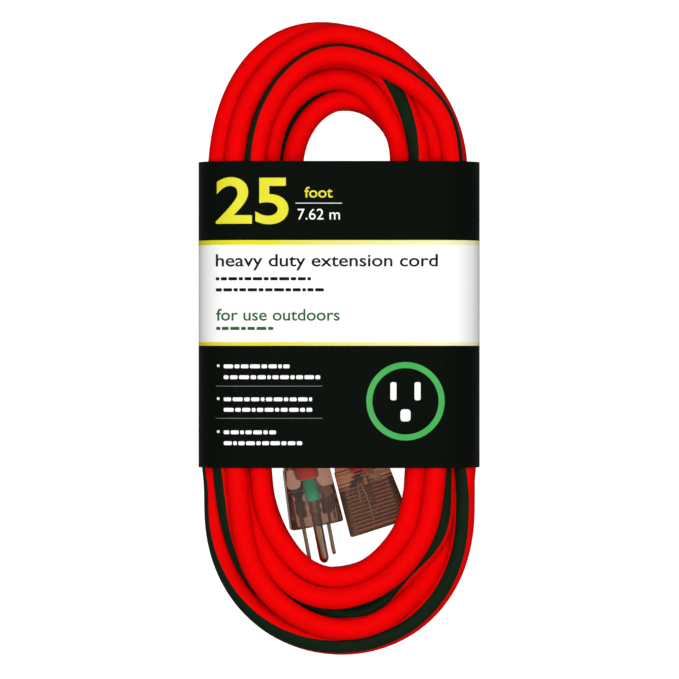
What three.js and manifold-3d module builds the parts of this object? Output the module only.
// A 25 ft outdoor extension cord, wound in an oval hank and held by a printed card sleeve.
// Millimetres. The hank lies flat on its back: +Z is up, +Y runs along the hank towards the
// end away from the plug, and the origin is at the centre of the footprint, on the surface.
import * as THREE from 'three';
import { mergeVertices } from 'three/addons/utils/BufferGeometryUtils.js';
import Module from 'manifold-3d';

const wasm = await Module();
wasm.setup();

const GAP = 0.3; // clearance between touching pieces
const MERGE = 1e-4; // vertices closer than this are one

// Cord: 12 AWG, three conductors, round jacket
const JACKET_D = 10.6;
const WIRE_D = 4;
const STRAND_D = 2.4;
const WIRE_LAY = 2.35; // distance of each conductor's centre from the cord's axis

// Card sleeve: a flattened tube with half-round sides
const SLEEVE_WIDTH = 141;
const SLEEVE_THICK = 45;
const SLEEVE_TOP = 88.5;
const SLEEVE_BOTTOM = -64.25;
const CARD = 0.6;

// Hank: an oval outline of two half ellipses, around a window of two half ellipses
const HANK_END = 159;
const HANK_FLOOR = 0.9;
const HANK_THICK = 43.2;
const HANK_ROUND = 18; // rounding of the hank's outer edges, inwards
const HANK_TOP = { centre: 84, halfWidth: 66.5 };
const HANK_FOOT = { centre: -89, halfWidth: 68 };
const WINDOW_TOP = { x: 4.6, y: 85, halfWidth: 22.4, height: 30.5 };
const WINDOW_FOOT = { x: -0.4, y: -62, halfWidth: 33.8, height: 56 };
const WINDOW_STEP_Y = 40; // the window narrows from its lower to its upper width here

// Plug, NEMA 5-15P. Its own frame: y from the face towards the cord, z towards the ground pin.
const BLADE_SPACING = 12.7;
const BLADE = { width: 6.35, thick: 1.52, length: 15.9, hole: 4, holeFromTip: 4.2 };
const GROUND = { d: 4.8, length: 18.9 };
const GROUND_OFFSET = 11.9;
const BLADE_Z = -5.5;
const GROUND_Z = BLADE_Z + GROUND_OFFSET;
const PLUG = {
  at: [-11.2, -93.7, 19], tilt: 11, roll: 5,
  faceHalf: 13.2, rearHalf: 11.3, bodyLength: 30, thick: 25.5, round: 2,
  neck: 41, reliefEnd: 68, reliefRear: 6.9, reliefFront: 8.6,
  insertDepth: 19, insertHalfX: 10.2, insertZ: [-9.6, 10.2], chamber: 30,
  jacketFrom: 24,
};
const CRIMP = { from: 6.3, to: 12.7, d: 5.8, bore: 3 };

// Connector, NEMA 5-15R. Its own frame as the plug's, with the ground hole on the far side.
const CONNECTOR = {
  at: [20.6, -94.6, 22], tilt: 18, roll: 0,
  faceHalf: 15.6, rearHalf: 13.5, bodyLength: 33, thick: 26, round: 2,
  neck: 45, reliefEnd: 74, reliefRear: 6.9, reliefFront: 8.8,
  insertDepth: 24, insertHalfX: 10.8, insertZ: [-10.4, 10.2], chamber: 35,
  jacketFrom: 30,
};
const SOCKET = { blade: [2.4, 7.6], ground: 5.6 };
const JOIN = 0.4; // how far joined pieces of one solid run into each other
const CRIMP_FLOOR = 0.8; // metal left at the closed end of a crimp
const CONTACT_STOP = 1.2; // metal left at the closed end of a contact
const RIB = { start: 0.3, floorEnd: 1.6, end: 1.9 }; // steps along one strain-relief rib
const HANK_CORE = 0.2; // the flat slice that the hank's round edges grow from
const CONTACT = { wall: 0.7, from: 1.4, to: 17.6, barrelTo: 22.6, d: 4.6, bore: 3 };
const LAMP = { d: 4, length: 9, z: 7.2, y: 17.6 };
const RESISTOR = { d: 2.2, length: 6 };

const RELIEF_RIBS = 6;
const RIB_DEPTH = 0.8;
const ROUND_SIDES = 24;
const TUBE_SIDES = 10;
const TUBE_STEP = 2.2 * JACKET_D;
const POCKET_PLAY = 1.1; // how much wider a tail's pocket in the hank is than the tail

// ---- materials -------------------------------------------------------------------------

const finish = (color, roughness, metalness = 0) =>
  new THREE.MeshStandardMaterial({ color, roughness, metalness });
const MATERIALS = {
  jacket: () => finish(0xe80808, 0.42),
  card: () => finish(0xf4f4f0, 0.5),
  plugShell: () => finish(0x6e5a55, 0.25),
  connectorShell: () => finish(0x4b2d1e, 0.25),
  insert: () => finish(0x8a7a72, 0.35),
  brass: () => finish(0xb58a5a, 0.3, 1),
  copper: () => finish(0xb87348, 0.4, 1),
  green: () => finish(0x0d8f6f, 0.4),
  black: () => finish(0x141414, 0.4),
  white: () => finish(0xe8e8e4, 0.4),
  lamp: () => finish(0xffa24a, 0.1),
  resistor: () => finish(0xb09468, 0.5),
};

// ---- geometry helpers ------------------------------------------------------------------

const rad = THREE.MathUtils.degToRad;

// A closed solid from a geometry. Triangles that merging flattens, as at a lathe's axis, go.
function solidOf(geometry) {
  const bare = geometry.clone();
  bare.deleteAttribute('normal');
  bare.deleteAttribute('uv');
  const merged = mergeVertices(bare, MERGE);
  const corners = merged.index.array;
  const kept = [];
  for (let i = 0; i < corners.length; i += 3) {
    const [a, b, c] = corners.slice(i, i + 3);
    if (a !== b && b !== c && c !== a) kept.push(a, b, c);
  }
  return new wasm.Manifold(new wasm.Mesh({
    numProp: 3,
    vertProperties: Float32Array.from(merged.attributes.position.array),
    triVerts: Uint32Array.from(kept),
  }));
}

function geometryOf(solid) {
  const mesh = solid.getMesh();
  const geometry = new THREE.BufferGeometry();
  geometry.setAttribute('position', new THREE.BufferAttribute(mesh.vertProperties, 3));
  geometry.setIndex(new THREE.BufferAttribute(mesh.triVerts, 1));
  geometry.computeVertexNormals();
  return geometry;
}

// A block between two corners.
function block(x, y, z) {
  const geometry = new THREE.BoxGeometry(x[1] - x[0], y[1] - y[0], z[1] - z[0]);
  return geometry.translate((x[0] + x[1]) / 2, (y[0] + y[1]) / 2, (z[0] + z[1]) / 2);
}

// A round bar along y from one y to another, centred on x and z.
function bar(diameter, from, to, x = 0, z = 0, sides = ROUND_SIDES) {
  const geometry = new THREE.CylinderGeometry(diameter / 2, diameter / 2, to - from, sides);
  return geometry.translate(x, (from + to) / 2, z);
}

function circleShape(radius, sides) {
  const points = Array.from({ length: sides }, (_, i) => {
    const turn = (2 * Math.PI * i) / sides;
    return new THREE.Vector2(radius * Math.cos(turn), radius * Math.sin(turn));
  });
  return new THREE.Shape(points);
}

// A round tube that follows a smooth curve through the points.
function tube(points, diameter, steps, sides = TUBE_SIDES) {
  const path = new THREE.CatmullRomCurve3(points.map((p) => new THREE.Vector3(...p)));
  return new THREE.ExtrudeGeometry(circleShape(diameter / 2, sides), {
    steps, extrudePath: path,
  });
}

// An outline in x and y, extruded along z between two heights, with its edges rounded.
function slab(shape, zFrom, zTo, round = 0, curveSegments = 12) {
  const geometry = new THREE.ExtrudeGeometry(shape, {
    depth: zTo - zFrom - 2 * round, curveSegments, bevelEnabled: round > 0,
    bevelSize: round, bevelThickness: round, bevelOffset: -round, bevelSegments: 4,
  });
  return geometry.translate(0, 0, zFrom + round);
}

// ---- sleeve and hank -------------------------------------------------------------------

function stadium(PathClass, halfWidth, halfThick) {
  const flat = halfWidth - halfThick;
  const path = new PathClass();
  path.moveTo(-flat, -halfThick);
  path.lineTo(flat, -halfThick);
  path.absarc(flat, 0, halfThick, -Math.PI / 2, Math.PI / 2, false);
  path.lineTo(-flat, halfThick);
  path.absarc(-flat, 0, halfThick, Math.PI / 2, (3 * Math.PI) / 2, false);
  return path;
}

function sleeveCard() {
  const wall = stadium(THREE.Shape, SLEEVE_WIDTH / 2, SLEEVE_THICK / 2);
  wall.holes.push(stadium(THREE.Path, SLEEVE_WIDTH / 2 - CARD, SLEEVE_THICK / 2 - CARD));
  const geometry = new THREE.ExtrudeGeometry(wall, {
    depth: SLEEVE_TOP - SLEEVE_BOTTOM, curveSegments: 14, bevelEnabled: false,
  });
  geometry.rotateX(Math.PI / 2);
  return geometry.translate(0, SLEEVE_TOP, SLEEVE_THICK / 2);
}

function hankOutline() {
  const shape = new THREE.Shape();
  shape.absellipse(0, HANK_TOP.centre, HANK_TOP.halfWidth, HANK_END - HANK_TOP.centre,
    0, Math.PI, false, 0);
  shape.absellipse(0, HANK_FOOT.centre, HANK_FOOT.halfWidth, HANK_END + HANK_FOOT.centre,
    Math.PI, 2 * Math.PI, false, 0);
  return shape;
}

function windowOutline() {
  const [top, foot] = [WINDOW_TOP, WINDOW_FOOT];
  const shape = new THREE.Shape();
  shape.absellipse(top.x, top.y, top.halfWidth, top.height, 0, Math.PI, false, 0);
  shape.lineTo(top.x - top.halfWidth, WINDOW_STEP_Y);
  shape.lineTo(foot.x - foot.halfWidth, WINDOW_STEP_Y);
  shape.absellipse(foot.x, foot.y, foot.halfWidth, foot.height,
    Math.PI, 2 * Math.PI, false, 0);
  shape.lineTo(foot.x + foot.halfWidth, WINDOW_STEP_Y);
  shape.lineTo(top.x + top.halfWidth, WINDOW_STEP_Y);
  return shape;
}

function hankCoil() {
  const top = HANK_FLOOR + HANK_THICK;
  const halfThick = HANK_THICK / 2;
  const outer = new THREE.ExtrudeGeometry(hankOutline(), {
    depth: HANK_CORE, curveSegments: 22, bevelEnabled: true, bevelSize: HANK_ROUND,
    bevelThickness: halfThick - HANK_CORE / 2, bevelOffset: -HANK_ROUND, bevelSegments: 5,
  }).translate(0, 0, HANK_FLOOR + halfThick - HANK_CORE / 2);
  return solidOf(outer).subtract(solidOf(slab(windowOutline(), -1, top + 1, 0, 16)));
}

// ---- the plug's and the connector's shared shapes --------------------------------------

// The moulded body: an outline that flares to the face, with rounded edges and sloping
// shoulders, and a tapered strain relief with ribs behind them.
function mouldedBody(spec) {
  const { faceHalf, rearHalf, bodyLength, neck, reliefFront } = spec;
  const outline = new THREE.Shape([
    [-faceHalf, 0], [faceHalf, 0], [rearHalf, bodyLength], [rearHalf - 1, (bodyLength + neck) / 2],
    [reliefFront, neck], [-reliefFront, neck], [1 - rearHalf, (bodyLength + neck) / 2],
    [-rearHalf, bodyLength],
  ].map((p) => new THREE.Vector2(...p)));
  const shell = slab(outline, -spec.thick / 2, spec.thick / 2, spec.round);
  return solidOf(shell).add(solidOf(relief(spec)));
}

function relief({ neck, reliefFront, reliefRear, reliefEnd }) {
  const from = neck - 6;
  const pitch = (reliefEnd - neck - 3) / RELIEF_RIBS;
  const radius = (y) =>
    reliefFront + ((reliefRear - reliefFront) * (y - from)) / (reliefEnd - from);
  const profile = [[0, from], [radius(from), from]];
  for (let rib = 0; rib < RELIEF_RIBS; rib += 1) {
    const y = neck + 1 + rib * pitch;
    profile.push([radius(y), y], [radius(y) - RIB_DEPTH, y + RIB.start]);
    profile.push([radius(y) - RIB_DEPTH, y + RIB.floorEnd], [radius(y), y + RIB.end]);
  }
  profile.push([reliefRear, reliefEnd], [0, reliefEnd]);
  return new THREE.LatheGeometry(profile.map((p) => new THREE.Vector2(...p)), 28);
}

// The hollow that the insert, the conductors and the jacket fill, open at both ends.
function bodyHollow(spec) {
  const [low, high] = spec.insertZ;
  const half = spec.insertHalfX + GAP;
  const chamber = block([-half, half], [-1, spec.chamber], [low - GAP, high + GAP]);
  const bore = bar(JACKET_D + 2 * GAP, spec.chamber - 1, spec.reliefEnd + 1);
  return solidOf(chamber).add(solidOf(bore));
}

function insertBlock(spec) {
  const half = spec.insertHalfX;
  return solidOf(block([-half, half], [0, spec.insertDepth], spec.insertZ));
}

// A conductor from its crimp to the end of the jacket.
function conductor(x, z, from, to, end) {
  const points = [
    [x, from, z], [x, from + 2, z],
    [(x + end[0]) / 2, (from + to) / 2 + 1, (z + end[1]) / 2],
    [end[0], to - 2, end[1]], [end[0], to, end[1]],
  ];
  return tube(points, WIRE_D, 10, 10);
}

// Where each conductor leaves the jacket: the ground on its own side, the others opposite.
function layAt(groundSide) {
  const across = WIRE_LAY * Math.cos(rad(30));
  const beside = -groundSide * WIRE_LAY * Math.sin(rad(30));
  return {
    line: [-across, beside], neutral: [across, beside], ground: [0, groundSide * WIRE_LAY],
  };
}

// ---- the object ------------------------------------------------------------------------

const cord = new THREE.Group();

function place(parent, name, shape, material) {
  const geometry = shape.isBufferGeometry ? shape : geometryOf(shape);
  const mesh = new THREE.Mesh(geometry, material());
  mesh.name = name;
  parent.add(mesh);
  return mesh;
}

function endGroup(spec) {
  const group = new THREE.Group();
  group.position.set(...spec.at);
  group.rotation.set(0, rad(spec.roll), rad(spec.tilt), 'ZYX');
  cord.add(group);
  group.updateMatrixWorld(true);
  return group;
}

function pointOn(group, x, y, z) {
  return new THREE.Vector3(x, y, z).applyMatrix4(group.matrixWorld).toArray();
}

// Jacket end, conductors and bare copper ends, which both ends of the cord have.
function cordEnd(group, prefix, spec, poles, copper, groundSide) {
  const jacket = bar(JACKET_D, spec.jacketFrom, spec.reliefEnd);
  place(group, `${prefix}_jacket_end`, jacket, MATERIALS.jacket);
  const lay = layAt(groundSide);
  const colours = { line: 'black', neutral: 'white', ground: 'green' };
  for (const [pole, [x, z]] of Object.entries(poles)) {
    const wire = conductor(x, z, copper[1] + GAP, spec.jacketFrom - GAP, lay[pole]);
    place(group, `${prefix}_${pole}_conductor`, wire, MATERIALS[colours[pole]]);
    const strands = bar(STRAND_D, copper[0], copper[1], x, z, 12);
    place(group, `${prefix}_${pole}_copper_strands`, strands, MATERIALS.copper);
  }
}

// ---- plug ------------------------------------------------------------------------------

const plug = endGroup(PLUG);
const plugPoles = {
  line: [-BLADE_SPACING / 2, BLADE_Z], neutral: [BLADE_SPACING / 2, BLADE_Z],
  ground: [0, GROUND_Z],
};

function crimpBarrel(x, z) {
  const barrel = solidOf(bar(CRIMP.d, CRIMP.from, CRIMP.to, x, z));
  return barrel.subtract(solidOf(bar(CRIMP.bore, CRIMP.from + CRIMP_FLOOR, CRIMP.to + 1, x, z)));
}

function blade(x) {
  const half = [BLADE.thick / 2, BLADE.width / 2];
  const tip = -BLADE.length;
  const plate = block([x - half[0], x + half[0]], [tip, CRIMP.from + JOIN],
    [BLADE_Z - half[1], BLADE_Z + half[1]]);
  const hole = new THREE.CylinderGeometry(BLADE.hole / 2, BLADE.hole / 2, 6, ROUND_SIDES);
  hole.rotateZ(Math.PI / 2).translate(x, tip + BLADE.holeFromTip, BLADE_Z);
  return solidOf(plate).subtract(solidOf(hole)).add(crimpBarrel(x, BLADE_Z));
}

function groundPin() {
  const r = GROUND.d / 2;
  const tip = -GROUND.length;
  const profile = [[0, tip], [r * 0.45, tip + 0.25], [r * 0.85, tip + 1.1], [r, tip + 2.4],
    [r, CRIMP.from + JOIN], [0, CRIMP.from + JOIN]];
  const pin = new THREE.LatheGeometry(profile.map((p) => new THREE.Vector2(...p)), ROUND_SIDES);
  return solidOf(pin.translate(0, 0, GROUND_Z)).add(crimpBarrel(0, GROUND_Z));
}

function plugInsert() {
  let insert = insertBlock(PLUG);
  for (const [x, z] of Object.values(plugPoles)) {
    const well = bar(CRIMP.d + 2 * GAP, CRIMP.from - GAP, PLUG.insertDepth + 1, x, z);
    insert = insert.subtract(solidOf(well));
  }
  const side = BLADE_SPACING / 2 + CRIMP.d / 2 + GAP;
  const rear = block([-side, side], [CRIMP.to, PLUG.insertDepth + 1],
    [BLADE_Z - CRIMP.d / 2 - GAP, GROUND_Z + CRIMP.d / 2 + GAP]);
  insert = insert.subtract(solidOf(rear));
  for (const x of [plugPoles.line[0], plugPoles.neutral[0]]) {
    const half = [BLADE.thick / 2 + GAP, BLADE.width / 2 + GAP];
    const slot = block([x - half[0], x + half[0]], [-1, CRIMP.from + 1],
      [BLADE_Z - half[1], BLADE_Z + half[1]]);
    insert = insert.subtract(solidOf(slot));
  }
  const hole = bar(GROUND.d + 2 * GAP, -1, CRIMP.from + 1, 0, GROUND_Z);
  return insert.subtract(solidOf(hole));
}

const plugBody = mouldedBody(PLUG);
place(plug, 'plug_body', plugBody.subtract(bodyHollow(PLUG)), MATERIALS.plugShell);
place(plug, 'plug_blade_holder', plugInsert(), MATERIALS.insert);
place(plug, 'plug_line_blade', blade(plugPoles.line[0]), MATERIALS.brass);
place(plug, 'plug_neutral_blade', blade(plugPoles.neutral[0]), MATERIALS.brass);
place(plug, 'plug_ground_pin', groundPin(), MATERIALS.brass);
cordEnd(plug, 'plug', PLUG, plugPoles, [CRIMP.from + 1, CRIMP.to + 0.2], 1);

// ---- connector -------------------------------------------------------------------------

const connector = endGroup(CONNECTOR);
const socketPoles = {
  line: [-BLADE_SPACING / 2, -BLADE_Z], neutral: [BLADE_SPACING / 2, -BLADE_Z],
  ground: [0, -GROUND_Z],
};

function contactBarrel(x, z) {
  const barrel = solidOf(bar(CONTACT.d, CONTACT.to - 0.6, CONTACT.barrelTo, x, z));
  return barrel.subtract(solidOf(bar(CONTACT.bore, CONTACT.to + JOIN, CONTACT.barrelTo + 1, x, z)));
}

function bladeContact(x, z) {
  const [slotX, slotZ] = SOCKET.blade;
  const half = [slotX / 2 + CONTACT.wall, slotZ / 2];
  const leaves = block([x - half[0], x + half[0]], [CONTACT.from, CONTACT.to],
    [z - half[1], z + half[1]]);
  const between = block([x - slotX / 2, x + slotX / 2], [CONTACT.from - 1, CONTACT.to - CONTACT_STOP],
    [z - half[1] - 1, z + half[1] + 1]);
  return solidOf(leaves).subtract(solidOf(between)).add(contactBarrel(x, z));
}

function groundContact(x, z) {
  const d = SOCKET.ground;
  const cup = bar(d + 2 * CONTACT.wall, CONTACT.from, CONTACT.to, x, z);
  const inside = bar(d, CONTACT.from - 1, CONTACT.to - CONTACT_STOP, x, z);
  return solidOf(cup).subtract(solidOf(inside)).add(contactBarrel(x, z));
}

function contactCarrier() {
  let carrier = insertBlock(CONNECTOR);
  const rear = CONNECTOR.insertDepth + 1;
  for (const [x, z] of [socketPoles.line, socketPoles.neutral]) {
    const [slotX, slotZ] = SOCKET.blade;
    const half = [slotX / 2 + CONTACT.wall + GAP, slotZ / 2 + GAP];
    const well = block([x - half[0], x + half[0]], [CONTACT.from - GAP, rear],
      [z - half[1], z + half[1]]);
    const slot = block([x - slotX / 2, x + slotX / 2], [-1, CONTACT.from],
      [z - slotZ / 2, z + slotZ / 2]);
    const round = bar(CONTACT.d + 2 * GAP, CONTACT.to - 1, rear, x, z);
    carrier = carrier.subtract(solidOf(well)).subtract(solidOf(slot)).subtract(solidOf(round));
  }
  const [gx, gz] = socketPoles.ground;
  const cupD = SOCKET.ground + 2 * CONTACT.wall + 2 * GAP;
  carrier = carrier.subtract(solidOf(bar(cupD, CONTACT.from - GAP, rear, gx, gz)));
  carrier = carrier.subtract(solidOf(bar(SOCKET.ground, -1, CONTACT.from, gx, gz)));
  const lampHalf = LAMP.d / 2 + GAP;
  const recess = block([-lampHalf, lampHalf], [LAMP.y - LAMP.length / 2 - GAP, rear],
    [LAMP.z - lampHalf, CONNECTOR.insertZ[1] + 1]);
  return carrier.subtract(solidOf(recess));
}

const connectorBody = mouldedBody(CONNECTOR);
place(connector, 'connector_body', connectorBody.subtract(bodyHollow(CONNECTOR)),
  MATERIALS.connectorShell);
place(connector, 'connector_contact_carrier', contactCarrier(), MATERIALS.insert);
place(connector, 'connector_line_contact', bladeContact(...socketPoles.line), MATERIALS.brass);
place(connector, 'connector_neutral_contact', bladeContact(...socketPoles.neutral),
  MATERIALS.brass);
place(connector, 'connector_ground_contact', groundContact(...socketPoles.ground),
  MATERIALS.brass);
place(connector, 'connector_indicator_lamp',
  bar(LAMP.d, LAMP.y - LAMP.length / 2, LAMP.y + LAMP.length / 2, 0, LAMP.z), MATERIALS.lamp);
const resistorFrom = LAMP.y + LAMP.length / 2 + GAP;
place(connector, 'connector_lamp_resistor',
  bar(RESISTOR.d, resistorFrom, resistorFrom + RESISTOR.length, 0, LAMP.z), MATERIALS.resistor);
cordEnd(connector, 'connector', CONNECTOR, socketPoles,
  [CONTACT.to + 0.6, CONTACT.barrelTo + 0.2], -1);

// ---- cord tails, hank and sleeve -------------------------------------------------------

// Each tail leaves its strain relief in line and curves into the side of the hank.
function tailRoute(group, spec, inwards) {
  const start = pointOn(group, 0, spec.reliefEnd + GAP, 0);
  const ahead = pointOn(group, 0, spec.reliefEnd + GAP + 12, 0);
  return [start, ahead, ...inwards];
}

const plugTail = tailRoute(plug, PLUG, [
  [-32, 0, 20.5], [-35.5, 17, 22], [-36.5, 34, 23], [-35.5, 52, 23.5],
]);
const connectorTail = tailRoute(connector, CONNECTOR, [
  [-4.5, 0, 23], [0.5, 17, 24], [11, 34, 24], [22.5, 50, 24], [31.5, 66, 23.5],
]);

function tail(points, diameter = JACKET_D) {
  const length = new THREE.CatmullRomCurve3(points.map((p) => new THREE.Vector3(...p))).getLength();
  return tube(points, diameter, Math.ceil(length / TUBE_STEP));
}

// The tail made wider and a little longer, to cut its way into the hank.
function tailPocket(points) {
  const ends = points.map((p) => new THREE.Vector3(...p));
  const last = ends[ends.length - 1];
  const along = last.clone().sub(ends[ends.length - 2]).normalize();
  const beyond = last.clone().addScaledVector(along, GAP).toArray();
  return solidOf(tail([...points.slice(0, -1), beyond], JACKET_D + POCKET_PLAY));
}

// Room for a moulded body beside the innermost turns, which pass over its edge.
function sidePocket(group, spec, body) {
  const scale = 1 + (2 * GAP) / spec.faceHalf;
  const grown = geometryOf(body).scale(scale, 1, scale);
  return solidOf(grown.applyMatrix4(group.matrixWorld));
}

const hank = hankCoil()
  .subtract(tailPocket(plugTail))
  .subtract(tailPocket(connectorTail))
  .subtract(sidePocket(connector, CONNECTOR, connectorBody))
  .subtract(sidePocket(plug, PLUG, plugBody));

place(cord, 'cord_hank', hank, MATERIALS.jacket);
place(cord, 'plug_tail', tail(plugTail), MATERIALS.jacket);
place(cord, 'connector_tail', tail(connectorTail), MATERIALS.jacket);
place(cord, 'card_sleeve', sleeveCard(), MATERIALS.card);

export default cord;
